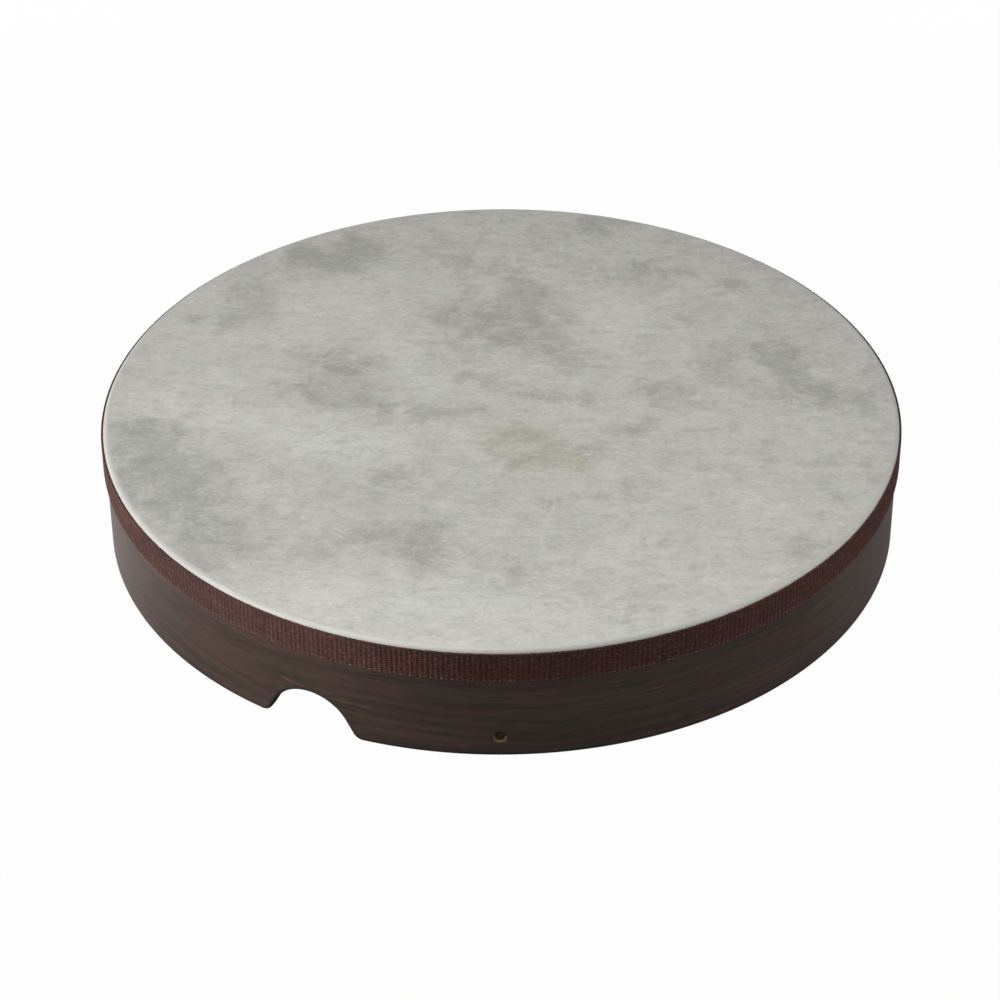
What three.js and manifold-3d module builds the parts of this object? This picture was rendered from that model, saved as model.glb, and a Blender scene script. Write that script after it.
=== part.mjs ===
// A hand drum of the frame-drum kind: a shallow laminated shell, open at the bottom, with a stretched head
// glued over its top edge and a woven tape round the glued skirt. Nothing on it moves.
// Sizes are in millimetres and angles in degrees. +Z runs up the drum's axis from the open rim, and the
// origin is at the centre of that rim. -Y points to the cord hole, and angles round the drum are counted
// from there, anticlockwise seen from above.
import * as THREE from "three";
import { mergeVertices } from "three/addons/utils/BufferGeometryUtils.js";
import Module from "manifold-3d";

const wasm = await Module();
wasm.setup();

// The drum as a whole.
const shellDiameter = 406.4;
const overallHeight = 63.5;

// The lay-up of the wall, from the outside in. The core takes what the thin layers leave.
const wallThickness = 6.35;
const wrapThickness = 0.25;
const outerPlyThickness = 0.7;
const innerPlyThickness = 0.7;
const backingThickness = 0.25;
const glueLine = 0.1;

// The head, a film with a fibre layer laminated onto it.
const baseFilmThickness = 0.25;
const fibreLayerThickness = 0.15;
const skirtLength = 14;

// The trim webbing, and the collar of the head that it leaves bare.
const webbingWidth = 16;
const webbingThickness = 0.9;
const webbingEdgeRound = 0.35;
const bareCollar = 1.5;

// The edges of the wall: the bearing edge under the head, and the rim that the drum stands on. The rim's
// round runs on round the thumb notch.
const bearingRound = 2;
const bearingCrest = 0.8;
const bearingSlope = 30;
const rimRound = 1.5;

// The thumb notch, an arc cut in the rim. Straight flanks lean out from the arc to rounded mouth corners.
const notchRadius = 21.3;
const notchFlankLean = 28.5;
const notchMouthRound = 6;
const notchAngle = -26.6;

// The cord hole, drilled straight through the wall.
const cordHoleDiameter = 6.35;
const cordHoleHeight = 11.6;
const cordHoleEdgeRound = 0.6;
const cordHoleAngle = 0;

// How finely round things are faceted.
const facetsAround = 96;
const edgeRoundSteps = 3;
const webbingEdgeSteps = 1;
const notchSteps = 20;
const notchMouthSteps = 5;
const cordHoleFacets = 24;
const cutterOverrun = 5;
const leastStep = 0.08;

// What follows from the sizes above.
const outerRadius = shellDiameter / 2;
const innerRadius = outerRadius - wallThickness;
const baseFilmUnderside = glueLine;
const baseFilmOutside = baseFilmUnderside + baseFilmThickness;
const fibreLayerUnderside = baseFilmOutside + glueLine;
const fibreLayerOutside = fibreLayerUnderside + fibreLayerThickness;
const shellTop = overallHeight - fibreLayerOutside;
const webbingTop = overallHeight - bareCollar;
const skirtFoot = webbingTop - skirtLength;

const radians = (degrees) => (degrees * Math.PI) / 180;

// Points on an arc about (x, y), from one angle to another in equal steps, both ends included.
function arc(x, y, radius, from, to, steps) {
  return Array.from({ length: steps + 1 }, (_, i) => {
    const angle = radians(from + ((to - from) * i) / steps);
    return new THREE.Vector2(x + radius * Math.cos(angle), y + radius * Math.sin(angle));
  });
}

// How far a quarter round stands back, at a distance in from the face that it starts on.
function setBack(radius, inward) {
  const rest = THREE.MathUtils.clamp(radius - inward, 0, radius);
  return radius - Math.sqrt(radius * radius - rest * rest);
}

// The height of the wall's bottom edge at a radius: flat, with both corners rounded.
function rimHeight(r) {
  return Math.max(setBack(rimRound, outerRadius - r), setBack(rimRound, r - innerRadius));
}

// The height of the wall's top edge at a radius: round outside, a narrow flat crest, then a slope inwards.
function bearingHeight(r) {
  const inward = outerRadius - r;
  const pastCrest = Math.max(inward - bearingRound - bearingCrest, 0);
  return shellTop - setBack(bearingRound, inward) - pastCrest * Math.tan(radians(bearingSlope));
}

// The distances in from a face where a quarter round that starts on that face needs a point.
function roundDepths(radius) {
  return arc(0, 0, radius, 0, 90, edgeRoundSteps).map((p) => radius - p.x);
}

const rimStations = roundDepths(rimRound).flatMap((depth) => [outerRadius - depth, innerRadius + depth]);
const bearingStations = [...roundDepths(bearingRound), bearingRound + bearingCrest].map(
  (depth) => outerRadius - depth,
);

// The stations that lie between two radii, with the two radii themselves, in rising order.
function stationsBetween(inner, outer, stations) {
  const inside = stations.filter((r) => r > inner + leastStep && r < outer - leastStep);
  return [inner, ...inside.sort((a, b) => a - b), outer];
}

// One layer of the wall in section: along its bottom edge outwards, and back along its top edge.
function wallSection(inner, outer) {
  const edge = (stations, height) =>
    stationsBetween(inner, outer, stations).map((r) => new THREE.Vector2(r, height(r)));
  const bottom = edge(rimStations, rimHeight);
  const top = edge(bearingStations, bearingHeight);
  return [...bottom, ...top.reverse(), bottom[0]];
}

// The path of a sheet that lies over the shell at a given stand-off: flat from the axis to the bearing
// edge, round it, and down the outside to its foot.
function overShell(standOff, foot) {
  const turn = outerRadius - bearingRound;
  const start = new THREE.Vector2(0, shellTop + standOff);
  const end = new THREE.Vector2(outerRadius + standOff, foot);
  return [start, ...arc(turn, shellTop - bearingRound, bearingRound + standOff, 90, 0, edgeRoundSteps), end];
}

// A head layer in section, between its underside and its outside, both as stand-offs from the shell.
function headSection(underside, outside, foot) {
  return [...overShell(underside, foot), ...overShell(outside, foot).reverse()];
}

// The webbing in section: a flat tape on edge with its four long edges rounded.
function webbingSection() {
  const inner = outerRadius + fibreLayerOutside + glueLine;
  const outer = inner + webbingThickness;
  const bottom = webbingTop - webbingWidth;
  const round = webbingEdgeRound;
  const points = [
    ...arc(outer - round, bottom + round, round, 270, 360, webbingEdgeSteps),
    ...arc(outer - round, webbingTop - round, round, 0, 90, webbingEdgeSteps),
    ...arc(inner + round, webbingTop - round, round, 90, 180, webbingEdgeSteps),
    ...arc(inner + round, bottom + round, round, 180, 270, webbingEdgeSteps),
  ];
  return [...points, points[0]];
}

// A section turned round the drum's axis.
function turned(section) {
  return new THREE.LatheGeometry(section, facetsAround).rotateX(Math.PI / 2);
}

// The notch's outline, x across it and y up from the rim, grown by a distance: up one mouth corner and its
// flank, over the arc, and down the other side. The flanks touch the arc, and each mouth corner touches its
// flank and the rim's plane.
function notchOutline(growth) {
  const lean = radians(notchFlankLean);
  const mouth = (notchRadius + notchMouthRound * (1 - Math.sin(lean))) / Math.cos(lean);
  const corner = notchMouthRound - growth;
  return [
    new THREE.Vector2(mouth, -cutterOverrun),
    ...arc(mouth, notchMouthRound, corner, 270, 180 + notchFlankLean, notchMouthSteps),
    ...arc(0, 0, notchRadius + growth, notchFlankLean, 180 - notchFlankLean, notchSteps),
    ...arc(-mouth, notchMouthRound, corner, -notchFlankLean, -90, notchMouthSteps),
    new THREE.Vector2(-mouth, -cutterOverrun),
  ];
}

function cordHoleOutline(growth) {
  return arc(0, cordHoleHeight, cordHoleDiameter / 2 + growth, 0, 360, cordHoleFacets).slice(1);
}

// Where a cutter passes through the wall, as radii from the drum's axis, with how far its outline is grown
// there: it flares at both faces, so that the edges of the cut come out rounded.
function cutterStations(edgeRound) {
  const depths = roundDepths(edgeRound);
  const inside = depths.map((depth) => [innerRadius + depth, setBack(edgeRound, depth)]);
  const outside = depths.map((depth) => [outerRadius - depth, setBack(edgeRound, depth)]);
  const start = [innerRadius - cutterOverrun, edgeRound];
  const end = [outerRadius + cutterOverrun, edgeRound];
  return [start, ...inside, ...outside.reverse(), end];
}

// A cutter that runs straight out through the wall at an angle round the drum. Its outline is bent onto a
// cylinder about the drum's axis at each station, and the outlines are skinned and capped.
function wallCutter(outlineGrownBy, edgeRound, angle) {
  const stations = cutterStations(edgeRound);
  const positions = stations.flatMap(([radius, growth]) =>
    outlineGrownBy(growth).flatMap(({ x, y }) => [x, -Math.sqrt(radius * radius - x * x), y]),
  );
  const cap = outlineGrownBy(edgeRound);
  const count = cap.length;
  const faces = [];
  for (let ring = 0; ring < stations.length - 1; ring++) {
    for (let i = 0; i < count; i++) {
      const a = ring * count + i;
      const b = ring * count + ((i + 1) % count);
      faces.push(a, b, a + count, b, b + count, a + count);
    }
  }
  const last = positions.length / 3 - count;
  for (const [a, b, c] of THREE.ShapeUtils.triangulateShape(cap, [])) {
    faces.push(c, b, a, a + last, b + last, c + last);
  }
  return new THREE.BufferGeometry()
    .setAttribute("position", new THREE.Float32BufferAttribute(positions, 3))
    .setIndex(faces)
    .rotateZ(radians(angle));
}

// A closed geometry as a solid, with its shared vertices merged and the flat triangles at a pole left out.
function solid(geometry) {
  const merged = mergeVertices(geometry.clone().deleteAttribute("normal").deleteAttribute("uv"));
  const triVerts = [];
  for (let i = 0; i < merged.index.count; i += 3) {
    const [a, b, c] = merged.index.array.slice(i, i + 3);
    if (a !== b && b !== c && c !== a) triVerts.push(a, b, c);
  }
  return new wasm.Manifold(
    new wasm.Mesh({
      numProp: 3,
      vertProperties: merged.attributes.position.array,
      triVerts: new Uint32Array(triVerts),
    }),
  );
}

// What is left of a geometry after the cutters have gone through it.
function cut(geometry, cutters) {
  const left = cutters.reduce((body, cutter) => body.subtract(cutter), solid(geometry));
  const mesh = left.getMesh();
  return new THREE.BufferGeometry()
    .setAttribute("position", new THREE.BufferAttribute(mesh.vertProperties, 3))
    .setIndex(new THREE.BufferAttribute(mesh.triVerts, 1));
}

const drum = new THREE.Group();
drum.name = "hand_drum";

function add(name, geometry, color, roughness) {
  const material = new THREE.MeshStandardMaterial({ color, roughness, metalness: 0, flatShading: true });
  const mesh = new THREE.Mesh(geometry, material);
  mesh.name = name;
  drum.add(mesh);
}

// The shell's layers from the outside in, each a glue line clear of the last, cut by the notch and the hole.
function addShell() {
  const cutters = [
    solid(wallCutter(notchOutline, rimRound, notchAngle)),
    solid(wallCutter(cordHoleOutline, cordHoleEdgeRound, cordHoleAngle)),
  ];
  const coreThickness =
    wallThickness - wrapThickness - outerPlyThickness - innerPlyThickness - backingThickness - 4 * glueLine;
  const layers = [
    { name: "woodgrain_wrap", thickness: wrapThickness, color: "#3a2f2a", roughness: 0.45 },
    { name: "outer_face_ply", thickness: outerPlyThickness, color: "#4c382b", roughness: 0.8 },
    { name: "shell_core", thickness: coreThickness, color: "#5a4231", roughness: 0.85 },
    { name: "inner_face_ply", thickness: innerPlyThickness, color: "#4c382b", roughness: 0.8 },
    { name: "inner_backing_sheet", thickness: backingThickness, color: "#40322a", roughness: 0.7 },
  ];
  let outer = outerRadius;
  for (const { name, thickness, color, roughness } of layers) {
    add(name, cut(turned(wallSection(outer - thickness, outer)), cutters), color, roughness);
    outer -= thickness + glueLine;
  }
}

function addHead() {
  const film = headSection(baseFilmUnderside, baseFilmOutside, skirtFoot);
  const fibre = headSection(fibreLayerUnderside, fibreLayerOutside, skirtFoot);
  add("head_base_film", turned(film), "#d5d6cf", 0.35);
  add("head_fibre_layer", turned(fibre), "#b9bbb4", 0.6);
}

function addWebbing() {
  add("trim_webbing", turned(webbingSection()), "#4a302c", 0.95);
}

addShell();
addHead();
addWebbing();

export default drum;
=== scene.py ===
"""The looks of a hand drum: a shallow laminated shell wrapped in dark woodgrain, a mottled head glued over
its top edge, and a woven brown tape round the glued skirt.

Lengths are in metres and +Z runs up the drum's axis from the open rim. -Y faces the front, and angles round
the drum count from there, anticlockwise seen from above."""
import math

import bpy
import numpy as np
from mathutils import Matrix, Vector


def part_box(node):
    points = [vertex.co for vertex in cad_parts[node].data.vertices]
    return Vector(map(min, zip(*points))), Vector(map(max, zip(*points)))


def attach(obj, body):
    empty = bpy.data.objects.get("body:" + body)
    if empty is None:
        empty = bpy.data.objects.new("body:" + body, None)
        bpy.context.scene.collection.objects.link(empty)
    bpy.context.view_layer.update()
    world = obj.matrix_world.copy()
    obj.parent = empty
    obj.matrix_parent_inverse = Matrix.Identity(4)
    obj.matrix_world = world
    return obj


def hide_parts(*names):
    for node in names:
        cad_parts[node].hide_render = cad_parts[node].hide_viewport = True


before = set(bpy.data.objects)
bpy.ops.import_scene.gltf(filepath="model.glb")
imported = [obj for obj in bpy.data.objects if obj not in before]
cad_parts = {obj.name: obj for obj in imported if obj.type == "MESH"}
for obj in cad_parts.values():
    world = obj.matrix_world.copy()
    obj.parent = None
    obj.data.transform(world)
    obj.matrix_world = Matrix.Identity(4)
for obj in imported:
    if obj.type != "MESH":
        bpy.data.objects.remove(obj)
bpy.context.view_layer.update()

MM = 0.001
TURN = 2 * math.pi


def paint(code):
    """A colour written as #rrggbb, as the linear values that a socket takes."""
    shares = np.array([int(code[i : i + 2], 16) for i in (1, 3, 5)]) / 255
    linear = np.where(shares < 0.04045, shares / 12.92, ((shares + 0.055) / 1.055) ** 2.4)
    return (*linear.tolist(), 1.0)


# The camera, which looks at the origin from the front and above, and turns, rolls and shifts a touch.
CAMERA_AWAY = 1.6873
CAMERA_TURN = math.radians(0.38)
CAMERA_ELEVATION = math.radians(35.354)
CAMERA_ROLL = math.radians(-0.2776)
CAMERA_LENS = 115.68
CAMERA_SENSOR = 36.0
PICTURE_SIDE = 1000
PICTURE_SHIFT = (-1.6127, 7.7181)  # pixels


def add_camera():
    """The camera, on a sphere about the origin, tilted to face it and then rolled."""
    data = bpy.data.cameras.new("camera")
    data.lens = CAMERA_LENS
    data.sensor_width = CAMERA_SENSOR
    data.shift_x = PICTURE_SHIFT[0] / PICTURE_SIDE
    data.shift_y = PICTURE_SHIFT[1] / PICTURE_SIDE
    camera = bpy.data.objects.new("camera", data)
    level = CAMERA_AWAY * math.cos(CAMERA_ELEVATION)
    camera.location = polar(CAMERA_TURN, level, CAMERA_AWAY * math.sin(CAMERA_ELEVATION))
    camera.rotation_mode = "QUATERNION"
    turn = Matrix.Rotation(CAMERA_TURN, 3, "Z")
    tilt = Matrix.Rotation(math.pi / 2 - CAMERA_ELEVATION, 3, "X")
    roll = Matrix.Rotation(CAMERA_ROLL, 3, "Z")
    camera.rotation_quaternion = (turn @ tilt @ roll).to_quaternion()
    bpy.context.scene.collection.objects.link(camera)
    bpy.context.scene.camera = camera


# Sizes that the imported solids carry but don't name.
RIM_ROUND = 1.5 * MM
BEARING_ROUND = 2 * MM
BEARING_CREST = 0.8 * MM
BEARING_SLOPE = math.radians(30)
NOTCH_RADIUS = 21.3 * MM
NOTCH_FLANK_LEAN = math.radians(28.5)
NOTCH_MOUTH_ROUND = 6 * MM
NOTCH_ANGLE = math.radians(-26.6)
CORD_HOLE_RADIUS = 3.175 * MM
CORD_HOLE_HEIGHT = 11.6 * MM
CORD_HOLE_EDGE_ROUND = 0.6 * MM
BASE_FILM_THICKNESS = 0.25 * MM
FIBRE_LAYER_THICKNESS = 0.15 * MM
WEBBING_THICKNESS = 0.9 * MM


def reach(node):
    """A node's least and greatest distance from the drum's axis, over the points that lie higher than their
    mean, where nothing is cut."""
    points = np.array([v.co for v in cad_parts[node].data.vertices])
    upper = points[points[:, 2] > points[:, 2].mean()]
    away = np.hypot(upper[:, 0], upper[:, 1])
    return away.min(), away.max()


SHELL_OUTER = reach("woodgrain_wrap")[1]
SHELL_INNER = reach("inner_backing_sheet")[0]
WALL = SHELL_OUTER - SHELL_INNER
SHELL_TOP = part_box("shell_core")[1].z
HEAD_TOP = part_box("head_fibre_layer")[1].z
FILM_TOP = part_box("head_base_film")[1].z
SKIRT_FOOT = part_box("head_fibre_layer")[0].z
WEBBING_OUTER = reach("trim_webbing")[1]
WEBBING_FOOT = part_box("trim_webbing")[0].z
WEBBING_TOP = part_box("trim_webbing")[1].z

SHARP = math.radians(35)


def mesh_piece(name, points, faces, finish, node, uv=None, edge=None):
    """A smooth piece from an array of points and arrays of faces, riding on the drum in place of a node. uv
    holds a pair for each corner of each face, in order. edge says for each point how far it lies on a dark
    edge, partly stained and partly painted shade, from 0 to 1."""
    mesh = bpy.data.meshes.new(name)
    mesh.from_pydata(points.tolist(), [], [face for group in faces for face in group.tolist()])
    if uv is not None:
        layer = mesh.uv_layers.new(name="weave")
        layer.data.foreach_set("uv", uv.astype(np.float32).ravel())
    if edge is not None:
        mesh.attributes.new("edge", "FLOAT", "POINT").data.foreach_set("value", edge.astype(np.float32))
    mesh.shade_smooth()
    mesh.set_sharp_from_angle(angle=SHARP)
    mesh.materials.append(finish)
    piece = bpy.data.objects.new(name, mesh)
    bpy.context.scene.collection.objects.link(piece)
    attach(piece, "root")
    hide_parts(node)
    return piece


def polar(angle, radius, height):
    """Points at angles round the drum, distances from its axis and heights: (r sin a, -r cos a, z)."""
    angle, radius, height = np.broadcast_arrays(angle, radius, height)
    return np.stack([radius * np.sin(angle), -radius * np.cos(angle), height], -1)


def quads(index):
    """The faces between neighbouring rows and columns of a grid of point numbers. With rows that rise and
    columns that run anticlockwise seen from above, they face away from the axis."""
    return np.stack([index[:-1, :-1], index[:-1, 1:], index[1:, 1:], index[1:, :-1]], -1)


def closed(index, rows=False, columns=False):
    """A grid of point numbers with its first row or column repeated at the end, so that quads() closes it."""
    if rows:
        index = np.concatenate([index, index[:1]])
    if columns:
        index = np.concatenate([index, index[:, :1]], 1)
    return index


def set_back(radius, inward):
    """How far a quarter round of radius r stands back, at a distance d in from the face that it starts on:
    r - sqrt(r^2 - (r - d)^2), and 0 past its end."""
    rest = np.clip(radius - np.asarray(inward, float), 0, radius)
    return radius - np.sqrt(radius**2 - rest**2)


def round_depths(radius, steps):
    """The distances in from a face at which a quarter round that starts there is drawn, in equal turns."""
    return radius * (1 - np.cos(np.linspace(0, math.pi / 2, steps + 1)))


# The wall's layers. Columns of points start all along the bottom edge, over the notch too, and rise to the
# bearing edge. Round the cord hole, a square block of their faces makes way for rings about the hole, which
# a power under 1 crowds towards it.
ROUND_STEPS = 8
MOUTH_STEPS = 8
FLANK_STEPS = 5
ARC_STEPS = 36
FADE_LENGTH = 30 * MM
FADE_STEPS = 10
COLUMN_STEP = math.radians(1.1)
HOLE_BLOCK_HALF_ANGLE = math.radians(2)
HOLE_BLOCK_FOOT = 4 * MM
HOLE_BLOCK_TOP = 19 * MM
HOLE_BLOCK_SIDE = 8
HOLE_RINGS = 5
HOLE_RING_POWER = 0.7
HOLE_EDGE_STEPS = 5
FACE_FOOT_ROWS = np.array([0.3, 1.0]) * MM
FOOT_EDGE_SHARES = (1.0, 0.7, 0.15)
FACE_UPPER_ROWS = 11


def notch_outline():
    """The bottom edge across the notch, unrolled: points (x, y) and the directions into the wall. It follows
    the left mouth corner's arc, a straight flank, the notch's own arc, and the right flank and corner, each
    touching the next. With a notch of radius r, mouth corners of radius m and flanks that lean by p, a mouth
    corner's centre is (r + m (1 - sin p)) / cos p from the middle."""
    lean = NOTCH_FLANK_LEAN
    mouth = (NOTCH_RADIUS + NOTCH_MOUTH_ROUND * (1 - math.sin(lean))) / math.cos(lean)
    corner = np.linspace(-math.pi / 2, -lean, MOUTH_STEPS + 1)
    over = np.linspace(math.pi - lean, lean, ARC_STEPS + 1)
    out = np.stack([np.cos(corner), np.sin(corner)])
    over_out = np.stack([np.cos(over), np.sin(over)])
    left = np.array([[-mouth], [NOTCH_MOUTH_ROUND]]) + NOTCH_MOUTH_ROUND * out
    arc = NOTCH_RADIUS * over_out
    share = np.arange(1, FLANK_STEPS) / FLANK_STEPS
    flank = left[:, -1:] + share * (arc[:, :1] - left[:, -1:])
    side = np.concatenate([left, flank], 1)
    side_into = np.concatenate([-out, np.repeat(over_out[:, :1], FLANK_STEPS - 1, 1)], 1)
    mirror = np.array([[-1], [1]])
    points = np.concatenate([side, arc, (mirror * side)[:, ::-1]], 1)
    into = np.concatenate([side_into, over_out, (mirror * side_into)[:, ::-1]], 1)
    return points, into


def wall_columns():
    """The columns all round, as a dict of arrays: x and y of the bottom edge and its direction into the wall,
    the angle at the outside, the angle at the top, and how far the column's foot runs parallel to the notch's
    own direction, 1, and not straight at the axis, 0. hole_start is the number of the column where the cord
    hole's block starts."""
    (x, y), (into_x, into_y) = notch_outline()
    mouth = x[-1]
    past = np.linspace(0, FADE_LENGTH, FADE_STEPS + 1)[1:]
    fade = 1 - past / FADE_LENGTH
    flat, up = np.zeros(FADE_STEPS), np.ones(FADE_STEPS)
    x = np.concatenate([-mouth - past[::-1], x, mouth + past])
    near = {
        "x": x,
        "y": np.concatenate([flat, y, flat]),
        "into_x": np.concatenate([flat, into_x, flat]),
        "into_y": np.concatenate([up, into_y, up]),
        "angle": NOTCH_ANGLE + np.arcsin(x / SHELL_OUTER),
        "parallel": np.concatenate([fade[::-1], np.ones(len(y)), fade]),
    }
    near["top"] = near["angle"].copy()
    across = slice(FADE_STEPS, FADE_STEPS + len(y))
    near["top"][across] = np.linspace(*near["angle"][across][[0, -1]], len(y))
    stops = [near["angle"][-1], -HOLE_BLOCK_HALF_ANGLE, HOLE_BLOCK_HALF_ANGLE, TURN + near["angle"][0]]
    counts = [math.ceil((b - a) / COLUMN_STEP) for a, b in zip(stops, stops[1:])]
    counts[1] = HOLE_BLOCK_SIDE
    runs = [np.linspace(a, b, n, endpoint=False) for a, b, n in zip(stops, stops[1:], counts)]
    rest = np.concatenate(runs)[1:]
    zero = np.zeros(len(rest))
    far = {
        "x": zero,
        "y": zero,
        "into_x": zero,
        "into_y": zero + 1,
        "angle": rest,
        "parallel": zero,
        "top": rest,
    }
    columns = {key: np.concatenate([near[key], far[key]]) for key in near}
    columns["hole_start"] = int(np.argmin(abs(columns["angle"] + HOLE_BLOCK_HALF_ANGLE)))
    return columns


def rim_growth(depth):
    """How far the bottom edge stands back into the wall at a depth in from its outer face: both corners are
    quarter rounds."""
    return np.maximum(set_back(RIM_ROUND, depth), set_back(RIM_ROUND, WALL - depth))


def bearing_height(depth):
    """The top edge at a depth: a round, a flat crest, then a slope down to the inside."""
    past = np.maximum(depth - BEARING_ROUND - BEARING_CREST, 0)
    return SHELL_TOP - set_back(BEARING_ROUND, depth) - past * math.tan(BEARING_SLOPE)


def hole_growth(depth):
    """How far the cord hole flares at a depth, where its edges are rounded at both faces."""
    edge = CORD_HOLE_EDGE_ROUND
    return np.maximum(set_back(edge, depth), set_back(edge, WALL - depth))


def between(stations, low, high):
    """The stations that lie inside a layer, clear of its faces, in rising order."""
    least = 0.012 * MM
    stations = np.unique(stations)
    return stations[(stations > low + least) & (stations < high - least)]


def both_faces(depths):
    """Depths in from either face of the wall, all as depths in from its outer face."""
    return np.concatenate([depths, WALL - depths])


def wall_layer(name, finish):
    """One layer of the wall as a closed loop of rows: up its outer face, in over its top, down its inner face
    and out under its foot. At the foot, with g the rim's growth and n the direction into the wall, the height
    is y + g n and the angle is the notch's plus asin((x + g n) / r), which gives way to the column's own
    angle past the notch. Up a face, both run in proportion to the top. The rounded foot is marked as dark
    edge, partly stained and partly painted shade, which fades out over the lowest rows of a face."""
    inner, outer = reach(name)
    near, deep = SHELL_OUTER - outer, SHELL_OUTER - inner
    columns = wall_columns()

    def foot(depth):
        growth = rim_growth(depth)
        radius = SHELL_OUTER - depth
        cut = NOTCH_ANGLE + np.arcsin((columns["x"] + growth * columns["into_x"]) / radius)
        angle = columns["angle"] + columns["parallel"] * (cut - columns["angle"])
        return angle, columns["y"] + growth * columns["into_y"]

    def face(depth):
        angle, height = foot(depth)
        top = bearing_height(depth)
        plain_foot = rim_growth(depth)
        block = np.linspace(HOLE_BLOCK_FOOT, HOLE_BLOCK_TOP, HOLE_BLOCK_SIDE + 1)
        upper = np.linspace(HOLE_BLOCK_TOP, top, FACE_UPPER_ROWS + 1)[1:]
        rows = np.concatenate([[plain_foot], plain_foot + FACE_FOOT_ROWS, block, upper])
        share = ((rows - plain_foot) / (top - plain_foot))[:, None]
        turned = angle + share * (columns["top"] - angle)
        return polar(turned, SHELL_OUTER - depth, height + share * (top - height))

    over = between(
        np.concatenate([
            round_depths(BEARING_ROUND, ROUND_STEPS),
            [BEARING_ROUND + BEARING_CREST, (BEARING_ROUND + BEARING_CREST + WALL) / 2],
        ]),
        near,
        deep,
    )
    under = between(both_faces(round_depths(RIM_ROUND, ROUND_STEPS)), near, deep)[::-1]
    over, under = over[:, None], under[:, None]
    over_rows = polar(columns["top"], SHELL_OUTER - over, bearing_height(over))
    under_angle, under_height = foot(under)
    under_rows = polar(under_angle, SHELL_OUTER - under, under_height)
    outside, inside = face(near), face(deep)[::-1]
    grid = np.concatenate([outside, over_rows, inside, under_rows])
    index = np.arange(grid.shape[0] * grid.shape[1]).reshape(grid.shape[:2])

    start, side = columns["hole_start"], HOLE_BLOCK_SIDE
    first = 1 + len(FACE_FOOT_ROWS)
    last_inside = len(outside) + len(over) + len(inside) - 1
    block_rows = (first + np.arange(side + 1), last_inside - first - np.arange(side + 1))
    rings = [block_ring(index[rows][:, start : start + side + 1]) for rows in block_rows]
    left_out = np.zeros((grid.shape[0], grid.shape[1]), bool)
    left_out[first : first + side, start : start + side] = True
    left_out[last_inside - first - side : last_inside - first, start : start + side] = True
    walls = quads(closed(index, rows=True, columns=True))[~left_out]
    points = grid.reshape(-1, 3)
    sleeve, sleeve_faces = hole_sleeve(points, rings, near, deep)
    on_edge = np.zeros(len(grid))
    on_edge[: len(FOOT_EDGE_SHARES)] = FOOT_EDGE_SHARES
    on_edge[last_inside - len(FOOT_EDGE_SHARES) + 1 : last_inside + 1] = FOOT_EDGE_SHARES[::-1]
    on_edge[last_inside + 1 :] = 1
    edge = np.concatenate([np.repeat(on_edge, grid.shape[1]), np.zeros(len(sleeve))])
    points = np.concatenate([points, sleeve])
    mesh_piece(name + "_skin", points, [walls, sleeve_faces], finish, name, edge=edge)


def block_ring(index):
    """The point numbers round the edge of a square block, anticlockwise from its lower left."""
    return np.concatenate([index[0, :-1], index[:-1, -1], index[-1, :0:-1], index[:0:-1, 0]])


def hole_sleeve(points, rings, near, deep):
    """The cord hole through a layer: rings of points that run from the block's square edge in to a circle
    about the hole's axis, through the layer, and out to the square on the other face. The hole is bored
    parallel to its axis: a point at x across it and r from the drum's axis has the angle asin(x / r)."""
    count = len(rings[0])
    turn = -3 * math.pi / 4 + np.arange(count) * TURN / count

    def circle(depth):
        wide = CORD_HOLE_RADIUS + hole_growth(depth)
        angle = np.arcsin(wide * np.cos(turn) / (SHELL_OUTER - depth))
        return polar(angle, SHELL_OUTER - depth, CORD_HOLE_HEIGHT + wide * np.sin(turn))

    def on_face(ring, depth):
        edge, end = points[ring], circle(depth)
        share = (np.linspace(0, 1, HOLE_RINGS + 1)[1:] ** HOLE_RING_POWER)[:, None, None]
        flat = edge + share * (end - edge)
        angle = np.arctan2(flat[..., 0], -flat[..., 1])
        return polar(angle, SHELL_OUTER - depth, flat[..., 2])

    through = between(both_faces(round_depths(CORD_HOLE_EDGE_ROUND, HOLE_EDGE_STEPS)), near, deep)
    tunnel = circle(through[:, None])
    fresh = np.concatenate([on_face(rings[0], near), tunnel, on_face(rings[1], deep)[::-1]])
    numbers = len(points) + np.arange(fresh.shape[0] * count).reshape(-1, count)
    index = np.concatenate([rings[0][None], numbers, rings[1][None]])
    return fresh.reshape(-1, 3), quads(closed(index, columns=True)).reshape(-1, 4)


# The head's two layers.
HEAD_COLUMNS = 360
HEAD_RINGS = np.array([12, 40, 80, 120, 160, 190]) * MM


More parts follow.
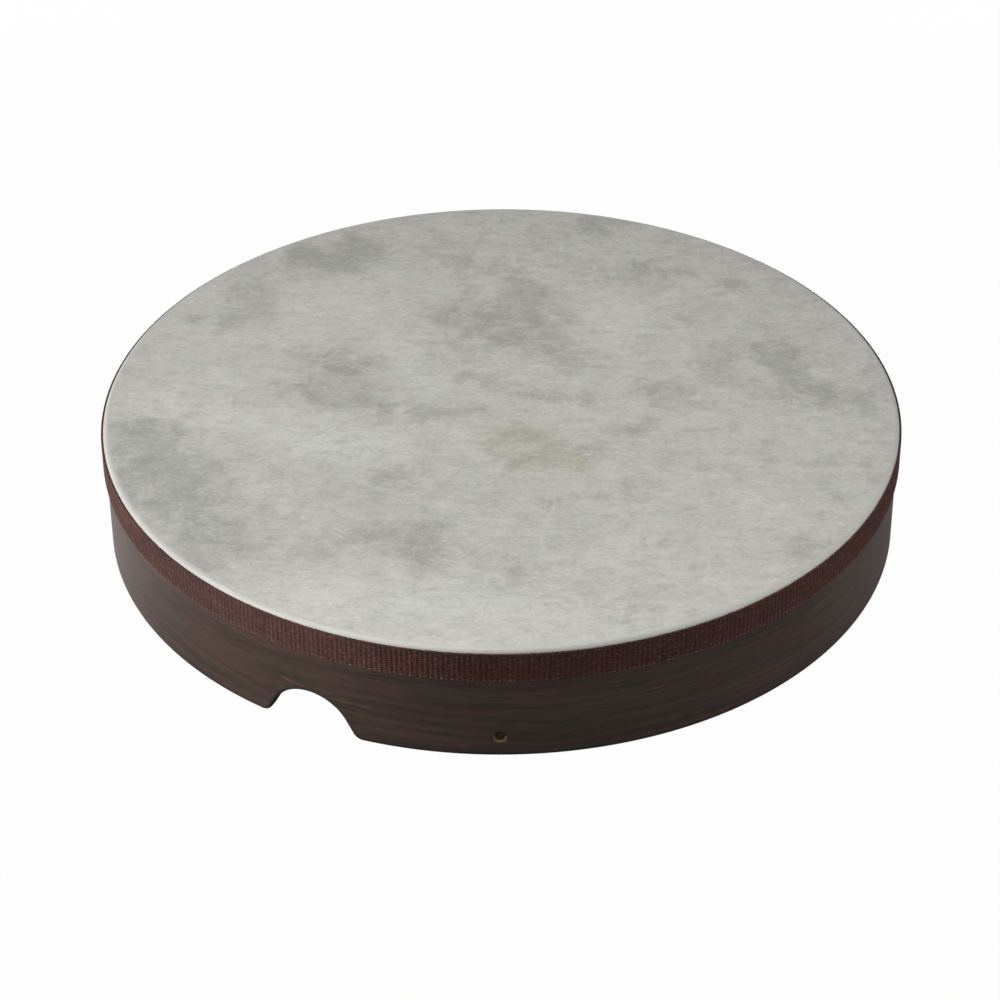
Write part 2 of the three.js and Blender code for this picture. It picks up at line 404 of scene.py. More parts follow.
def head_sheet(name, top, thickness, finish):
    """A layer of the head, turned about the axis: from the middle of its underside out, down inside its
    skirt, and back up and over its outside. At a stand-off s it is flat at the shell's top plus s, turns
    round the bearing edge with a radius of the edge's own plus s, and comes down at the shell's radius
    plus s."""
    bend = np.linspace(math.pi / 2, 0, 2 * ROUND_STEPS + 1)

    def path(stand_off):
        turn = SHELL_OUTER - BEARING_ROUND
        wide = BEARING_ROUND + stand_off
        radius = np.concatenate([HEAD_RINGS, turn + wide * np.cos(bend), [SHELL_OUTER + stand_off] * 2])
        level = SHELL_TOP + stand_off
        height = np.concatenate([
            np.full(len(HEAD_RINGS), level),
            SHELL_TOP - BEARING_ROUND + wide * np.sin(bend),
            [SHELL_TOP - 2 * BEARING_ROUND, SKIRT_FOOT],
        ])
        return radius, height

    outside_off = top - SHELL_TOP
    under, outside = path(outside_off - thickness), path(outside_off)
    radius = np.concatenate([under[0], outside[0][::-1]])
    height = np.concatenate([under[1], outside[1][::-1]])
    angle = np.arange(HEAD_COLUMNS) * TURN / HEAD_COLUMNS
    grid = polar(angle[None], radius[:, None], height[:, None])
    index = closed(np.arange(grid.shape[0] * HEAD_COLUMNS).reshape(grid.shape[:2]), columns=True)
    middles = np.array([[0, 0, height[0]], [0, 0, height[-1]]])
    low, high = grid[..., 0].size, grid[..., 0].size + 1
    lower_fan = np.stack([np.full(HEAD_COLUMNS, low), index[0, 1:], index[0, :-1]], -1)
    upper_fan = np.stack([index[-1, :-1], index[-1, 1:], np.full(HEAD_COLUMNS, high)], -1)
    points = np.concatenate([grid.reshape(-1, 3), middles])
    faces = [quads(index).reshape(-1, 4), lower_fan, upper_fan]
    mesh_piece(name + "_skin", points, faces, finish, name)


# The woven tape: how many ribs run across it round the drum, how many yarns lie along it, how deep its relief
# is and the ridges' share of that, how far its loops stand out, and how far and how unevenly it frays.
RIBS = 522
RIB_COLUMNS = 3
YARNS = 24
YARN_ROWS = 2
SELVEDGE = 0.5 * MM
RELIEF = 0.44 * MM
RIDGE_SHARE = 0.15
LOOP_STAND = 0.1 * MM
BACK_ROWS = 3
BACK_INSET = 0.35 * MM
FRAY_SEED = 7
FRAY_DROP = 0.5 * MM
FRAY_LEAST = 0.2


def weave_height(rib, yarn):
    """The tape's relief, from 0 to 1, at a place counted in ribs along it and yarns across it. The ribs stand
    as ridge = (1 + cos(2 pi rib)) / 2. In every second furrow, by turns from yarn to yarn, the yarn dips out
    of sight: there dip = cos(pi (rib - 1/2 + yarn's number)), where that is over 0. It is let in along the
    yarn's middle, as middle = 1 - (2 t - 1)^4 with t from 0 to 1 across the yarn. With s the ridges' share,
    the relief is s ridge + (1 - s) (1 - dip middle)."""
    ridge = 0.5 + 0.5 * np.cos(TURN * rib)
    dip = np.clip(np.cos(math.pi * (rib - 0.5 + np.floor(yarn))), 0, 1)
    middle = 1 - (2 * (yarn % 1) - 1) ** 4
    return RIDGE_SHARE * ridge + (1 - RIDGE_SHARE) * (1 - dip * middle)


def webbing(finish):
    """The tape as a closed band: up its outer face, in over its upper selvedge, down its back and out under
    its lower one. The outer face stands at the tape's full radius less d (1 - w), with d the relief's depth
    and w the weave's height. Each rib ends in a small loop at both selvedges. The upper one is frayed: it
    drops between the loops by a seeded share that differs from furrow to furrow."""
    name = "trim_webbing"
    count = RIBS * RIB_COLUMNS
    rib = np.arange(count) / RIB_COLUMNS
    yarn = (np.arange(YARNS * YARN_ROWS) + 0.5) / YARN_ROWS
    angle = rib * TURN / RIBS
    body_foot, body_top = WEBBING_FOOT + SELVEDGE, WEBBING_TOP - SELVEDGE
    height = body_foot + (body_top - body_foot) * yarn / YARNS
    woven = weave_height(rib[None], yarn[:, None])
    face = WEBBING_OUTER - RELIEF * (1 - woven)
    inner = WEBBING_OUTER - WEBBING_THICKNESS
    middle = (WEBBING_OUTER + inner) / 2

    loop = 0.5 + 0.5 * np.cos(TURN * rib)
    low_edge = [
        (middle + 0 * rib, WEBBING_FOOT + LOOP_STAND * (1 - loop)),
        (WEBBING_OUTER - 0.28 * MM + LOOP_STAND * loop, WEBBING_FOOT + 0.12 * MM + 0 * rib),
        (WEBBING_OUTER - 0.12 * MM + 0.12 * MM * loop, WEBBING_FOOT + 0.3 * MM + 0 * rib),
    ]
    frayed = np.repeat(np.random.default_rng(FRAY_SEED).uniform(FRAY_LEAST, 1, RIBS), RIB_COLUMNS)
    drop = FRAY_DROP * (1 - loop) * frayed
    high_edge = [
        (WEBBING_OUTER - 0.2 * MM + LOOP_STAND * loop, WEBBING_TOP - 0.28 * MM - 0.45 * drop),
        (WEBBING_OUTER - 0.38 * MM + LOOP_STAND * loop, WEBBING_TOP - 0.1 * MM - 0.9 * drop),
        (inner + 0.12 * MM + 0 * rib, WEBBING_TOP - drop),
    ]
    back = np.linspace(WEBBING_TOP - BACK_INSET, WEBBING_FOOT + BACK_INSET, BACK_ROWS)
    radius = np.concatenate([
        [r for r, _ in low_edge],
        face,
        [r for r, _ in high_edge],
        np.full((BACK_ROWS, count), inner),
    ])
    level = np.concatenate([
        [h for _, h in low_edge],
        np.repeat(height[:, None], count, 1),
        [h for _, h in high_edge],
        np.repeat(back[:, None], count, 1),
    ])
    grid = polar(angle[None], radius, level)
    index = closed(np.arange(grid.shape[0] * count).reshape(grid.shape[:2]), rows=True, columns=True)
    along = np.arange(count + 1) / count
    up = (level[:, 0] - WEBBING_FOOT) / (WEBBING_TOP - WEBBING_FOOT)
    place = np.stack(np.meshgrid(along, np.append(up, 0)), -1)
    corners = np.stack([place[:-1, :-1], place[:-1, 1:], place[1:, 1:], place[1:, :-1]], 2)
    faces = [quads(index).reshape(-1, 4)]
    piece = mesh_piece(name + "_weave", grid.reshape(-1, 3), faces, finish, name, corners)


class Socket:
    """A socket of a finish's nodes, for arithmetic: an expression on sockets adds its Math nodes."""

    def __init__(self, finish, link):
        self.finish = finish
        self.link = link

    def __add__(self, other):
        return self.finish.math("ADD", self, other)

    def __radd__(self, other):
        return self.finish.math("ADD", other, self)

    def __sub__(self, other):
        return self.finish.math("SUBTRACT", self, other)

    def __rsub__(self, other):
        return self.finish.math("SUBTRACT", other, self)

    def __mul__(self, other):
        return self.finish.math("MULTIPLY", self, other)

    def __rmul__(self, other):
        return self.finish.math("MULTIPLY", other, self)

    def __pow__(self, other):
        return self.finish.math("POWER", self, other)


class Finish:
    """The nodes of a material or of the world. node() makes any node, and the rest are short forms of it."""

    def __init__(self, owner):
        owner.use_nodes = True
        self.tree = owner.node_tree
        self.tree.nodes.clear()

    def node(self, kind, settings=None, sockets=None, output=0):
        made = self.tree.nodes.new("ShaderNode" + kind)
        for key, value in (settings or {}).items():
            setattr(made, key, value)
        for key, value in (sockets or {}).items():
            if isinstance(value, Socket):
                self.tree.links.new(value.link, made.inputs[key])
            else:
                made.inputs[key].default_value = value
        return Socket(self, made.outputs[output]) if made.outputs else None

    def math(self, operation, *values):
        return self.node("Math", {"operation": operation}, dict(enumerate(values)))

    def smooth(self, value, low, high):
        """0 up to low and 1 from high on, with a smooth step between. low may be the greater of the two."""
        sockets = {"Value": value, "From Min": low, "From Max": high}
        return self.node("MapRange", {"interpolation_type": "SMOOTHSTEP"}, sockets)

    def mix(self, share, first, second):
        """A share of the second colour over the first."""
        return self.node("Mix", {"data_type": "RGBA"}, {0: share, 6: first, 7: second}, 2)

    def vector(self, operation, *values, output=0):
        return self.node("VectorMath", {"operation": operation}, dict(enumerate(values)), output)

    def placed(self, vector, location=(0, 0, 0), turn=0.0, scale=(1, 1, 1), kind="POINT"):
        sockets = {"Vector": vector, "Location": location, "Rotation": (0, 0, turn), "Scale": scale}
        return self.node("Mapping", {"vector_type": kind}, sockets)

    def object_place(self):
        return self.node("TexCoord", output="Object")

    def coordinate(self, vector, number):
        """A vector's x, y or z, numbered from 0."""
        return self.node("SeparateXYZ", None, {"Vector": vector}, number)

    def falloff(self, vector):
        """1 where a vector is zero, falling evenly to 0 where its length is 1."""
        return self.node("TexGradient", {"gradient_type": "SPHERICAL"}, {"Vector": vector}, 1)

    def noise(self, vector, scale, detail=4.0, rough=0.55, twist=0.0, colour=False):
        sockets = {
            "Vector": vector,
            "Scale": scale,
            "Detail": detail,
            "Roughness": rough,
            "Distortion": twist,
        }
        return self.node("TexNoise", {"normalize": True}, sockets, "Color" if colour else "Fac")

    def bumped(self, height, distance, strength=1.0):
        return self.node("Bump", None, {"Height": height, "Distance": distance, "Strength": strength})

    def surface(self, **sockets):
        named = {key.replace("_", " ").title().replace("Ior", "IOR"): value for key, value in sockets.items()}
        shader = self.node("BsdfPrincipled", None, named)
        self.node("OutputMaterial", None, {"Surface": shader})


def new_finish(name):
    material = bpy.data.materials.new(name)
    return material, Finish(material)


# Streaks that stand out in the woodgrain: the angle round the drum in degrees, the height and the half
# length, both in millimetres, and the strength. They are grouped by tint.
STREAK_HALF_HEIGHT = 1.3 * MM
STREAKS = {
    "#5f442d": [  # rust
        (-34.5, 17.2, 9, 0.6), (-29.2, 24.9, 12, 1.0), (-31.1, 17.3, 5, 0.8), (-21.2, 22.3, 9, 0.8),
        (-18.3, 22.2, 6, 0.9), (-13.9, 36.7, 6, 0.7), (-8.8, 20.4, 8, 0.6), (3.0, 19.4, 8, 0.6),
        (-0.7, 37, 6, 0.5),
    ],
    "#59352d": [(-24.2, 24.8, 8, 0.8), (-21.1, 37.2, 8, 0.7), (-12.0, 19.1, 8, 0.6)],  # red
}


# How dark the rounded edges of the cuts are painted: partly a stain, partly painted shade on rounds that
# curve under.
EDGE_STAIN_AND_SHADE = 0.75


def woodgrain(name):
    """A dark, satin woodgrain print: bands and fine dark lines along the wall, with rust, reddish and
    greenish tinges. Each is a noise squeezed along the axis, which a slow noise tips a little up and down.
    The streaks that stand out are soft ellipses on the unrolled wall, broken up by the finest noise. The
    rounded edges of the cuts are dark: partly a stain and partly painted shade where they curve under."""
    material, f = new_finish(name)
    place = f.object_place()
    tip = f.noise(place, 9, 2) * 0.012 + f.noise(place, 34, 2) * 0.0022
    slope = (f.noise(place, 34, 2) - 0.5) * 0.006
    leaning = f.vector("ADD", place, f.node("CombineXYZ", None, {"Z": tip}))

    def streaks(length, height, detail=4.0, rough=0.6, shift=0.0):
        long_way = f.placed(leaning, (shift, shift, shift), 0, (1, 1, length / height))
        return f.noise(long_way, 1 / (length * MM), detail, rough)

    bands = streaks(90, 3.6)
    colour = f.mix(f.smooth(bands, 0.35, 0.65), paint("#352620"), paint("#48362c"))
    tinge = streaks(45, 9, 3, 0.6, 3.0)
    colour = f.mix(f.smooth(tinge, 0.56, 0.72) * 0.6, colour, paint("#2e2d20"))
    colour = f.mix(f.smooth(tinge, 0.44, 0.3) * 0.5, colour, paint("#532d2c"))
    rust = f.smooth(streaks(26, 2.2, 3, 0.55, 1.0), 0.62, 0.75) * f.smooth(f.noise(place, 16, 2), 0.4, 0.6)
    colour = f.mix(rust * 0.7, colour, paint("#804b27"))
    dark = f.smooth(streaks(38, 0.9, 5, 0.62, 2.0), 0.54, 0.68)
    colour = f.mix(dark * 0.65, colour, paint("#1b1411"))
    pale = streaks(16, 0.5, 3, 0.6, 5.0)
    colour = f.mix(f.smooth(pale, 0.58, 0.75) * 0.4, colour, paint("#695247"))
    x, y, z = [f.coordinate(place, number) for number in range(3)]
    round_the_wall = f.math("ARCTAN2", x, y * -1.0) * SHELL_OUTER
    unrolled = f.node("CombineXYZ", None, {"X": round_the_wall, "Y": z + slope})
    for tint, chosen in STREAKS.items():
        depth = 0.0
        for turn, height, length, strength in chosen:
            centre = (math.radians(turn) * SHELL_OUTER, height * MM, 0)
            local = f.placed(unrolled, centre, 0, (length * MM, STREAK_HALF_HEIGHT, 1), "TEXTURE")
            depth = depth + f.falloff(local) * strength
        shown = f.smooth(depth + (pale - 0.5) * 0.8, 0.1, 1.0) * f.smooth(depth, 0.0, 0.25)
        colour = f.mix(shown, colour, paint(tint))
    # The rounded edges of the cuts, marked by the edge attribute, are painted dark: partly stain, partly
    # painted shade.
    edge = f.node("Attribute", {"attribute_name": "edge"}, output="Fac")
    colour = f.mix(edge * EDGE_STAIN_AND_SHADE, colour, paint("#1b1614"))
    f.surface(
        base_color=colour,
        roughness=0.4 + bands * 0.1,
        normal=f.bumped(pale * 0.4 - dark, 0.05 * MM, 0.5),
        specular_IOR_Level=0.5,
    )
    return material


# How far past the cord hole its bare colour ends, and the y between which the front of the drum begins.
BARE_BORE_REACH = (1 * MM, 0.5 * MM)
FRONT_SIDE = (0.0, -0.1)


def fibre_ply(name, code):
    """The cut edges of the wound board, stained dark: fine laps round the drum. The cord hole's bore is left
    bare, within a cylinder about its axis."""
    material, f = new_finish(name)
    place = f.object_place()
    laps = f.noise(f.placed(place, scale=(1, 1, 30)), 60, 4, 0.6)
    colour = f.mix(laps, paint("#18130f"), paint(code))
    upright = f.vector("MULTIPLY", place, (1, 0, 1))
    from_hole = f.vector("DISTANCE", upright, (0, 0, CORD_HOLE_HEIGHT), output="Value")
    bare = f.smooth(from_hole, *[CORD_HOLE_RADIUS + past for past in BARE_BORE_REACH])
    bare = bare * f.smooth(f.coordinate(place, 1), *FRONT_SIDE)
    colour = f.mix(bare, colour, paint("#80654b"))
    f.surface(base_color=colour, roughness=0.75, normal=f.bumped(laps, 0.1 * MM, 0.6))
    return material


def backing(name):
    """The sheet inside the shell: plain dark brown with a faint grain."""
    material, f = new_finish(name)
    place = f.object_place()
    grain = f.noise(f.placed(place, scale=(1, 1, 20)), 20, 5, 0.6)
    colour = f.mix(f.smooth(grain, 0.3, 0.7), paint("#33271f"), paint("#443429"))
    f.surface(base_color=colour, roughness=0.6, normal=f.bumped(grain, 0.05 * MM, 0.5))
    return material


# The head's clouds: where each lies, seen from above with x to the right and y to the back, its half length
# and half width, all in millimetres, its turn in degrees and its strength. They are grouped by tint. A cloud
# fades out at its half sizes times the growth, and the cover is the most of its tint that shows.
CLOUD_GROWTH = 1.3
CLOUD_COVER = 0.82
CLOUDS = {
    "#98948a": [  # olive taupe
        (2, 80, 44, 30, -10, 0.85), (12, 112, 13, 28, 0, 0.8), (-30, 94, 26, 15, -40, 0.35),
        (34, 56, 30, 13, -20, 0.6), (-32, 160, 28, 40, 10, 0.4), (10, 8, 15, 14, 0, 0.6),
        (36, 12, 18, 12, 0, 0.8), (82, 13, 22, 13, -30, 0.8), (114, 34, 20, 16, 0, 0.7),
        (126, 55, 28, 11, -8, 0.6), (62, -18, 20, 11, 0, 0.8), (100, 0, 22, 16, 0, 0.4),
        (165, 70, 18, 26, 0, 0.4),
    ],
    "#99938c": [  # brown taupe
        (-84, 34, 26, 24, -50, 1.0), (-60, 44, 14, 12, 0, 0.4), (-62, -6, 14, 14, 0, 0.5),
    ],
    "#969692": [  # cool grey
        (-88, 160, 30, 22, 40, 1.1), (-104, 148, 32, 14, 0, 0.5), (-136, 113, 14, 26, 0, 1.0),
        (-138, 87, 38, 15, -5, 0.6), (148, 44, 22, 20, -60, 1.3), (170, 10, 30, 13, -8, 1.0),
        (152, 22, 14, 14, 0, 0.4), (84, 134, 22, 18, 0, 0.7), (121, 118, 16, 13, -30, 0.65),
        (148, -130, 20, 20, 30, 0.7), (-88, 8, 38, 14, -12, 0.9), (58, 190, 20, 12, 0, 0.9),
        (-18, -158, 30, 13, 0, 0.4), (60, -180, 30, 14, 20, 0.5),
    ],
    "#959691": [  # slate grey
        (-184, -30, 28, 26, -20, 1.1), (-170, -70, 32, 28, 0, 1.1), (-148, -58, 20, 26, -30, 0.35),
        (-136, -118, 24, 25, 0, 1.0), (-160, -98, 22, 22, 0, 0.5), (-138, -86, 20, 16, 0, 0.5),
    ],
    "#959490": [  # neutral grey
        (-38, -118, 21, 30, 12, 1.1), (-66, -112, 24, 18, 0, 0.6), (-90, -118, 20, 16, 0, 0.35),
        (-48, -58, 14, 14, 0, 0.9), (-26, -5, 18, 13, 0, 0.95), (-20, 30, 30, 14, -35, 0.6),
        (44, -36, 20, 15, 0, 0.6), (36, -70, 26, 18, 0, 0.4), (-40, 5, 16, 14, 0, 0.4),
        (8, -142, 18, 16, 0, 0.5), (30, -160, 40, 20, 0, 0.4),
    ],
    "#9b9a84": [  # olive
        (6, -25, 27, 16, 0, 0.95), (22, -50, 20, 14, -15, 1.25),
    ],
    "#ccc9c3": [  # light, warm
        (-95, 95, 54, 36, 20, 0.7), (60, 80, 38, 38, 0, 0.5), (-150, 62, 46, 14, 0, 0.5),
        (80, 100, 40, 16, 20, 0.4),
        (-160, -2, 40, 14, -10, 0.95),
    ],
    "#c9cbc5": [  # light, cool
        (-100, -22, 66, 22, -10, 0.8), (-42, 28, 14, 44, 30, 0.7), (-60, 72, 40, 16, -40, 0.5),
        (-30, -166, 74, 24, 0, 0.7), (-106, -150, 44, 22, -30, 0.45), (-150, 30, 44, 24, 0, 0.5),
        (-82, -40, 30, 22, 0, 0.4), (128, -90, 26, 22, 0, 0.55),
    ],
}


def mottled(f, place):
    """The head's colour: pale grey between a warm and a cool tint, with clouds over it, most of them darker.
    A cloud's depth falls evenly from its centre to its edge, and it shows where the depth and a clumpy noise
    together are high, so that it breaks up into clumps."""
    half = (0.5, 0.5, 0.5)
    swirl = f.vector("SUBTRACT", f.noise(place, 22, 3, 0.6, colour=True), half)
    shaken = f.vector("SUBTRACT", f.noise(place, 150, 3, 0.7, colour=True), half)
    wandering = f.vector("MULTIPLY_ADD", swirl, (0.03, 0.03, 0), place)
    wandering = f.vector("MULTIPLY_ADD", shaken, (0.008, 0.008, 0), wandering)
    clumps = f.noise(wandering, 75, 7, 0.68)
    drift = f.noise(wandering, 24, 4, 0.6)
    warmth = f.noise(wandering, 34, 5, 0.66)
    colour = f.mix(f.smooth(warmth, 0.36, 0.64), paint("#bbbbb5"), paint("#bebab2"))
    colour = f.mix(f.smooth(clumps * 0.6 + drift * 0.4, 0.44, 0.66) * 0.8, colour, paint("#a5a49e"))
    for tint, clouds in CLOUDS.items():
        depth = 0.0
        for x, y, length, width, turn, strength in clouds:
            scale = (length * CLOUD_GROWTH * MM, width * CLOUD_GROWTH * MM, 1)
            local = f.placed(wandering, (x * MM, y * MM, HEAD_TOP), math.radians(turn), scale, "TEXTURE")
            depth = depth + f.falloff(local) * strength
        broken = depth * 1.1 + (clumps - 0.5) * 3.2
        shown = f.smooth(broken, -0.3, 1.5) * f.smooth(depth, 0.0, 0.5)
        colour = f.mix(shown * CLOUD_COVER, colour, paint(tint))
    return colour


# The fibres in the head: the turns of the directions they lie in, in radians, and how they are stretched.
FIBRE_TURNS = (0.12, 0.85, 1.75, 2.6)
FIBRE_LENGTH_SCALE = 42
FIBRE_WIDTH_SCALE = 440


def fibres(f, place, shift):
    """Long, thin, bent streaks in several directions, from 0 to 1: in each direction, the peaks of a noise
    that is stretched along it."""
    bend = f.vector("SUBTRACT", f.noise(place, 22, 2, 0.5, colour=True), (0.5, 0.5, 0.5))
    bent = f.vector("MULTIPLY_ADD", bend, (0.02, 0.02, 0), place)
    most = 0.0
    for number, turn in enumerate(FIBRE_TURNS):
        turned = f.placed(bent, (shift + number, 0, number), turn, (1, 1, 1))
        stretched = f.vector("MULTIPLY", turned, (FIBRE_LENGTH_SCALE, FIBRE_WIDTH_SCALE, FIBRE_LENGTH_SCALE))
        most = f.math("MAXIMUM", most, f.smooth(f.noise(stretched, 1, 1.5, 0.5), 0.6, 0.78))
    return most


# How far in from the shell's outside the head's round edge turns plain, from not yet to fully.
PLAIN_EDGE_REACH = (3.6 * MM, 2 * MM)
PLAIN_EDGE_COVER = 0.8


def head_fibre(name):
    """The fibre layer: mottled, with pale and dark fibres that cross, fine grain and a soft sheen, and nearly
    one plain grey on its round edge."""
    material, f = new_finish(name)
    place = f.object_place()
    colour = mottled(f, place)
    patchy = f.smooth(f.noise(place, 30, 4, 0.6), 0.35, 0.65)
    pale = fibres(f, place, 0.0) * (0.25 + patchy * 0.75)
    dark = fibres(f, place, 7.0) * (1.15 - patchy)
    brushed = f.noise(f.placed(place, scale=(1, 2.2, 1)), 92, 6, 0.74, 0.5)
    specks = f.noise(place, 520, 2, 0.6)
    colour = f.mix(f.smooth(brushed, 0.45, 0.8) * 0.75, colour, paint("#969690"))
    colour = f.mix(f.smooth(brushed, 0.5, 0.2) * 0.6, colour, paint("#d1d0c9"))
    colour = f.mix(dark * 0.2, colour, paint("#85857f"))
    colour = f.mix(pale * 0.22, colour, paint("#d4d4cc"))
    grain = f.noise(f.placed(place, scale=(1, 1.6, 1)), 380, 3, 0.7)
    colour = f.mix(f.smooth(grain, 0.53, 0.7) * 0.3, colour, paint("#d2d2ca"))
    colour = f.mix(f.smooth(grain, 0.47, 0.3) * 0.3, colour, paint("#8b8b85"))
    colour = f.mix(f.smooth(specks, 0.66, 0.8) * 0.35, colour, paint("#d2d2ca"))
    away = f.vector("LENGTH", f.vector("MULTIPLY", place, (1, 1, 0)), output="Value")
    on_round = f.smooth(away, *[SHELL_OUTER - inward for inward in PLAIN_EDGE_REACH])
    colour = f.mix(on_round * PLAIN_EDGE_COVER, colour, paint("#b5b5af"))
    f.surface(
        base_color=colour,
        roughness=0.62,
        normal=f.bumped(brushed + specks * 0.6 + pale, 0.05 * MM, 0.35),
    )
    return material


def head_film(name):
    """The base film seen from inside: the same clouds through a clear, smoother face."""
    material, f = new_finish(name)
    colour = f.mix(0.35, mottled(f, f.object_place()), paint("#c9c8c0"))
    f.surface(base_color=colour, roughness=0.4)
    return material


# Where the tape's lower edge has its own tint and its upper edge a dark olive painted shade, as shares of
# its width from its foot, and the distance from the drum's middle, in x, past which that shade fades out.
BEAD_REACH = (0.065, 0.035)
UPPER_SHADE_REACH = (0.92, 1.0)
UPPER_SHADE_FADE = (0.13, 0.06)


def woven(name):
    """The tape's yarns: reddish brown, with pale ridges, partly rubbed yarn and partly a painted highlight on
    the rib crests, dark slots of painted shade where a yarn dips, pale beads along the lower selvedge, where
    the ribs end, and a dark olive painted shade along the upper edge that shows at the front and the back.
    The ridges and slots are those of the relief."""
    material, f = new_finish(name)
    uv = f.node("UVMap", {"uv_map": "weave"})
    along = f.coordinate(uv, 0)
    across = f.coordinate(uv, 1)
    body = (WEBBING_TOP - WEBBING_FOOT - 2 * SELVEDGE) / (WEBBING_TOP - WEBBING_FOOT)
    place = f.object_place()
    fray = f.noise(f.placed(place, scale=(1, 1, 0.5)), 620, 3, 0.7) - 0.5
    rib = along * float(RIBS) + fray * 0.14
    yarn = (across - (1 - body) / 2) * (YARNS / body) + fray * 0.25
    ridge = 0.5 + 0.5 * f.math("COSINE", rib * TURN)
    dip = f.math("COSINE", (rib - 0.5 + f.math("FLOOR", yarn)) * math.pi)
    middle = 1 - (f.math("FRACT", yarn) * 2 - 1) ** 4
    slot = f.smooth(dip * middle, 0.3, 0.75)
    patch = f.noise(place, 45, 4, 0.65)
    worn_and_highlit = f.smooth(f.noise(place, 75, 3, 0.6), 0.35, 0.62)
    lint = f.noise(f.placed(place, scale=(1, 1, 1.6)), 1000, 2, 0.7)
    colour = f.mix(f.smooth(patch, 0.38, 0.68), paint("#442520"), paint("#4d2c22"))
    colour = f.mix(f.smooth(patch, 0.42, 0.3) * 0.6, colour, paint("#3a291d"))
    colour = f.mix(f.smooth(lint, 0.45, 0.75) * 0.4, colour, paint("#6e423a"))
    strand = f.noise(f.placed(place, (0.2, 0.1, 0), 0, (1, 1, 1.5)), 480, 2, 0.6)
    colour = f.mix(f.smooth(strand, 0.52, 0.7) * 0.28, colour, paint("#886358"))
    colour = f.mix(f.smooth(strand, 0.5, 0.34) * 0.35, colour, paint("#301717"))
    # Pale rib crests: partly rubbed yarn, partly a painted highlight, more of both in the rubbed patches.
    colour = f.mix(f.smooth(ridge, 0.75, 1.0) * (0.02 + worn_and_highlit * 0.12), colour, paint("#80544b"))
    thread = f.noise(f.placed(place, scale=(1, 1, 0.12)), 640, 2, 0.6)
    colour = f.mix(f.smooth(thread, 0.58, 0.72) * f.smooth(worn_and_highlit, 0.8, 0.2) * 0.5, colour, paint("#1c0f0d"))
    # Painted shade in the slots where a yarn dips, deeper where the strand noise is low.
    colour = f.mix(slot * (0.65 + f.smooth(strand, 0.6, 0.4) * 0.3), colour, paint("#20110f"))
    dots = f.smooth(f.noise(place, 300, 3, 0.6), 0.45, 0.6)
    bead = f.smooth(ridge, 0.4, 0.9)
    beads = f.smooth(across, *BEAD_REACH) * bead * (0.2 + dots * 0.5)
    colour = f.mix(beads, colour, paint("#aa7a6f"))
    # A dark olive painted shade along the upper edge, faded out towards the sides.
    near_middle = f.smooth(f.math("ABSOLUTE", f.coordinate(place, 0)), *UPPER_SHADE_FADE)
    olive = f.smooth(across + fray * 0.2, *UPPER_SHADE_REACH) * (0.25 + dots * 0.5) * near_middle
    colour = f.mix(olive, colour, paint("#362b1c"))
    twist = f.math("SINE", (rib * 3 + yarn * 2.4) * math.pi)
    f.surface(
        base_color=colour,
        roughness=0.75,
        normal=f.bumped(lint + twist * 0.25 + (1 - slot) * 1.6, 0.1 * MM, 0.9),
        specular_IOR_Level=0.33,
    )
    return material


# The stage: a pale floor that the camera sees as white but for the drum's own soft shadow.
FLOOR_HALF = 4.0
SHADOW_SHARE = 0.012
SHADOW_REACH = (0.4, 0.9)
NOTCH_LIGHT_REACH = (40 * MM, 60 * MM)
GLOSS_SIDE_REACH = (0.09, 0.2)
GLOSS_BACK_REACH = (-0.18, -0.03)
GLOSS_SHARE = 0.125
GLOSS_LEFT = 0.57
GLOSS_RIGHT = 0.13


def add_floor():
    """The floor. To the camera it is white with a faint wide shade, and under the drum, except close to the
    notch, it is plainly lit and grey. Gloss sees it dimly, and more brightly at both sides from the drum's
    middle back. From below it is clear."""
    mesh = bpy.data.meshes.new("floor")
    corners = np.array([[-1, -1, 0], [1, -1, 0], [1, 1, 0], [-1, 1, 0]]) * FLOOR_HALF
    mesh.from_pydata(corners.tolist(), [], [(0, 1, 2, 3)])
    floor = bpy.data.objects.new("floor", mesh)
    bpy.context.scene.collection.objects.link(floor)
    material, f = new_finish("pale_floor")
    mesh.materials.append(material)
    place = f.object_place()
    away = f.vector("LENGTH", place, output="Value")
    notch = polar(NOTCH_ANGLE, SHELL_INNER, 0)
    from_notch = f.vector("DISTANCE", place, tuple(notch), output="Value")
    under = f.smooth(away, SHELL_OUTER, SHELL_INNER) * f.smooth(from_notch, *NOTCH_LIGHT_REACH)
    white = (1 - SHADOW_SHARE * f.smooth(away, SHADOW_REACH[1], SHADOW_REACH[0])) * (1 - under)
    lit = f.node("BsdfDiffuse", None, {"Color": paint("#5f5f5e")})
    glow = f.node("Emission", None, {"Color": (1, 1, 1, 1), "Strength": 1.0})
    seen = f.node("LightPath", output="Is Camera Ray")
    through = f.node("LightPath", output="Is Transmission Ray")
    gloss = f.node("LightPath", output="Is Glossy Ray")
    across = f.coordinate(place, 0)
    back = f.smooth(f.coordinate(place, 1), *GLOSS_BACK_REACH)
    left = f.smooth(across * -1.0, *GLOSS_SIDE_REACH) * back
    right = f.smooth(across, *GLOSS_SIDE_REACH) * back
    in_gloss = GLOSS_SHARE + left * GLOSS_LEFT + right * GLOSS_RIGHT
    share = f.math("MAXIMUM", f.math("MAXIMUM", seen, through), gloss * in_gloss) * white
    upper = f.node("MixShader", None, {0: share, 1: lit, 2: glow})
    below = f.node("NewGeometry", output="Backfacing")
    clear = f.node("BsdfTransparent")
    f.node("OutputMaterial", None, {"Surface": f.node("MixShader", None, {0: below, 1: upper, 2: clear})})


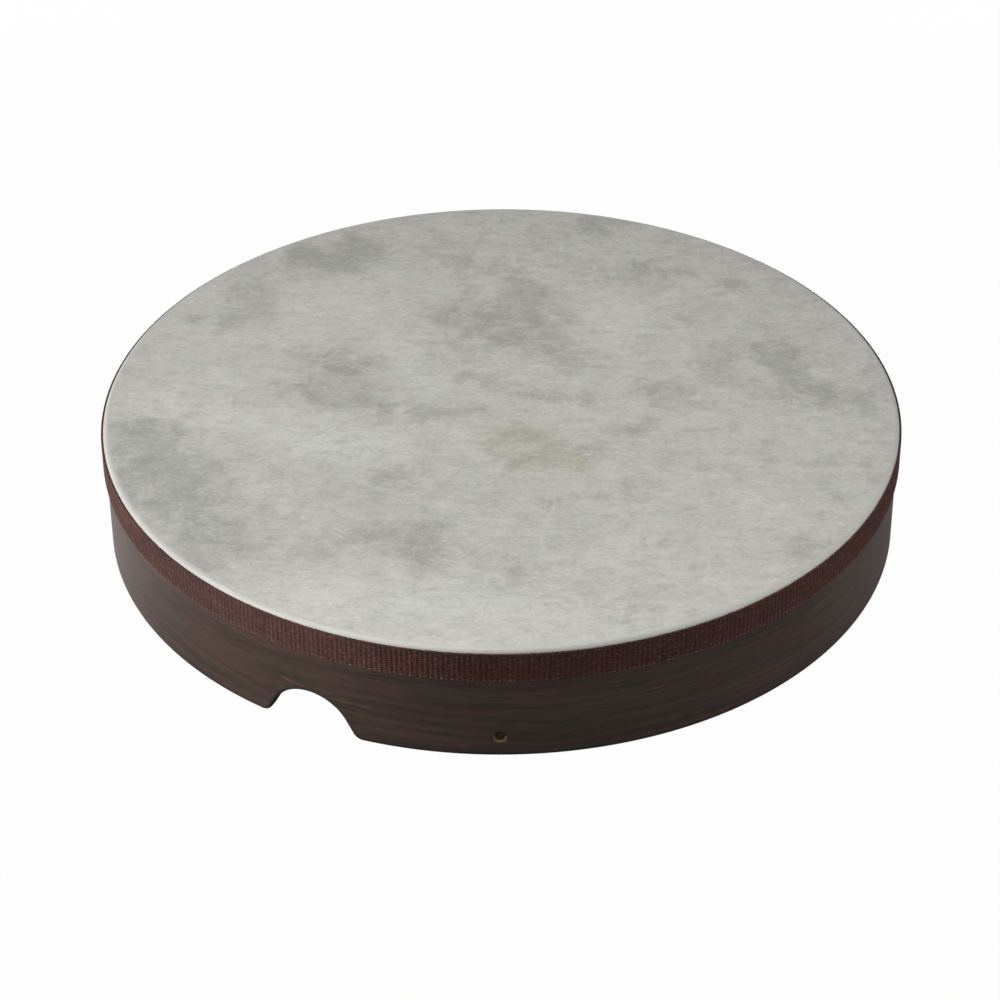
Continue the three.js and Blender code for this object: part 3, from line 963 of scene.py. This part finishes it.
def add_world():
    """The world: white to the camera and through clear things, dim to gloss, and it casts no light."""
    world = bpy.data.worlds.new("studio")
    bpy.context.scene.world = world
    f = Finish(world)
    seen = f.node("LightPath", output="Is Camera Ray")
    through = f.node("LightPath", output="Is Transmission Ray")
    gloss = f.node("LightPath", output="Is Glossy Ray")
    shown = f.math("MAXIMUM", f.math("MAXIMUM", seen, through), gloss * GLOSS_SHARE)
    light = f.node("Background", None, {"Color": (1, 1, 1, 1), "Strength": shown})
    f.node("OutputWorld", None, {"Surface": light})


LAMP_AIM = (0, 0, 0.03)


def add_lamp(name, turn, rise, away, width, height, power, aim=LAMP_AIM, spread=180):
    """A soft rectangular lamp at a turn round the drum and a rise over the floor, in degrees, and at a
    distance. It faces a point, its light spreads by an angle in degrees, and the camera doesn't see it."""
    data = bpy.data.lights.new(name, "AREA")
    data.shape = "RECTANGLE"
    data.size = width
    data.size_y = height
    data.energy = power
    data.spread = math.radians(spread)
    lamp = bpy.data.objects.new(name, data)
    lamp.visible_camera = False
    level = away * math.cos(math.radians(rise))
    lamp.location = polar(math.radians(turn), level, away * math.sin(math.radians(rise)))
    lamp.rotation_mode = "QUATERNION"
    lamp.rotation_quaternion = (Vector(aim) - lamp.location).to_track_quat("-Z", "Y")
    bpy.context.scene.collection.objects.link(lamp)


def add_lamps():
    """Lamps from both sides, above and behind, and a weak one just over the floor that lights the inside."""
    add_lamp("left_lamp", -90, 14, 1.0, 0.4, 0.3, 5.6)
    add_lamp("front_left_lamp", -60, 14, 1.0, 0.4, 0.3, 3.9)
    add_lamp("gridded_lamp", -75, 12, 0.9, 0.15, 0.15, 0.6, (-0.02, -0.35, 0.05), 24)
    add_lamp("right_lamp", 62, 22, 1.1, 0.4, 0.3, 4.05)
    add_lamp("top_lamp", 0, 75, 0.9, 0.6, 0.5, 4.7)
    add_lamp("back_top_lamp", 180, 60, 0.9, 0.6, 0.5, 1.1)
    add_lamp("inside_lamp", 0, 90, 0.002, 0.26, 0.26, 0.2)


def build():
    add_camera()
    wood = woodgrain("woodgrain")
    ply = fibre_ply("fibre_ply", "#45352b")
    core = fibre_ply("wound_core", "#3c2e25")
    wall_layer("woodgrain_wrap", wood)
    wall_layer("outer_face_ply", ply)
    wall_layer("shell_core", core)
    wall_layer("inner_face_ply", ply)
    wall_layer("inner_backing_sheet", backing("backing"))
    head_sheet("head_base_film", FILM_TOP, BASE_FILM_THICKNESS, head_film("head_film"))
    head_sheet("head_fibre_layer", HEAD_TOP, FIBRE_LAYER_THICKNESS, head_fibre("head_fibre"))
    webbing(woven("webbing"))
    add_floor()
    add_world()
    add_lamps()
    bpy.context.scene.view_settings.view_transform = "Standard"


build()
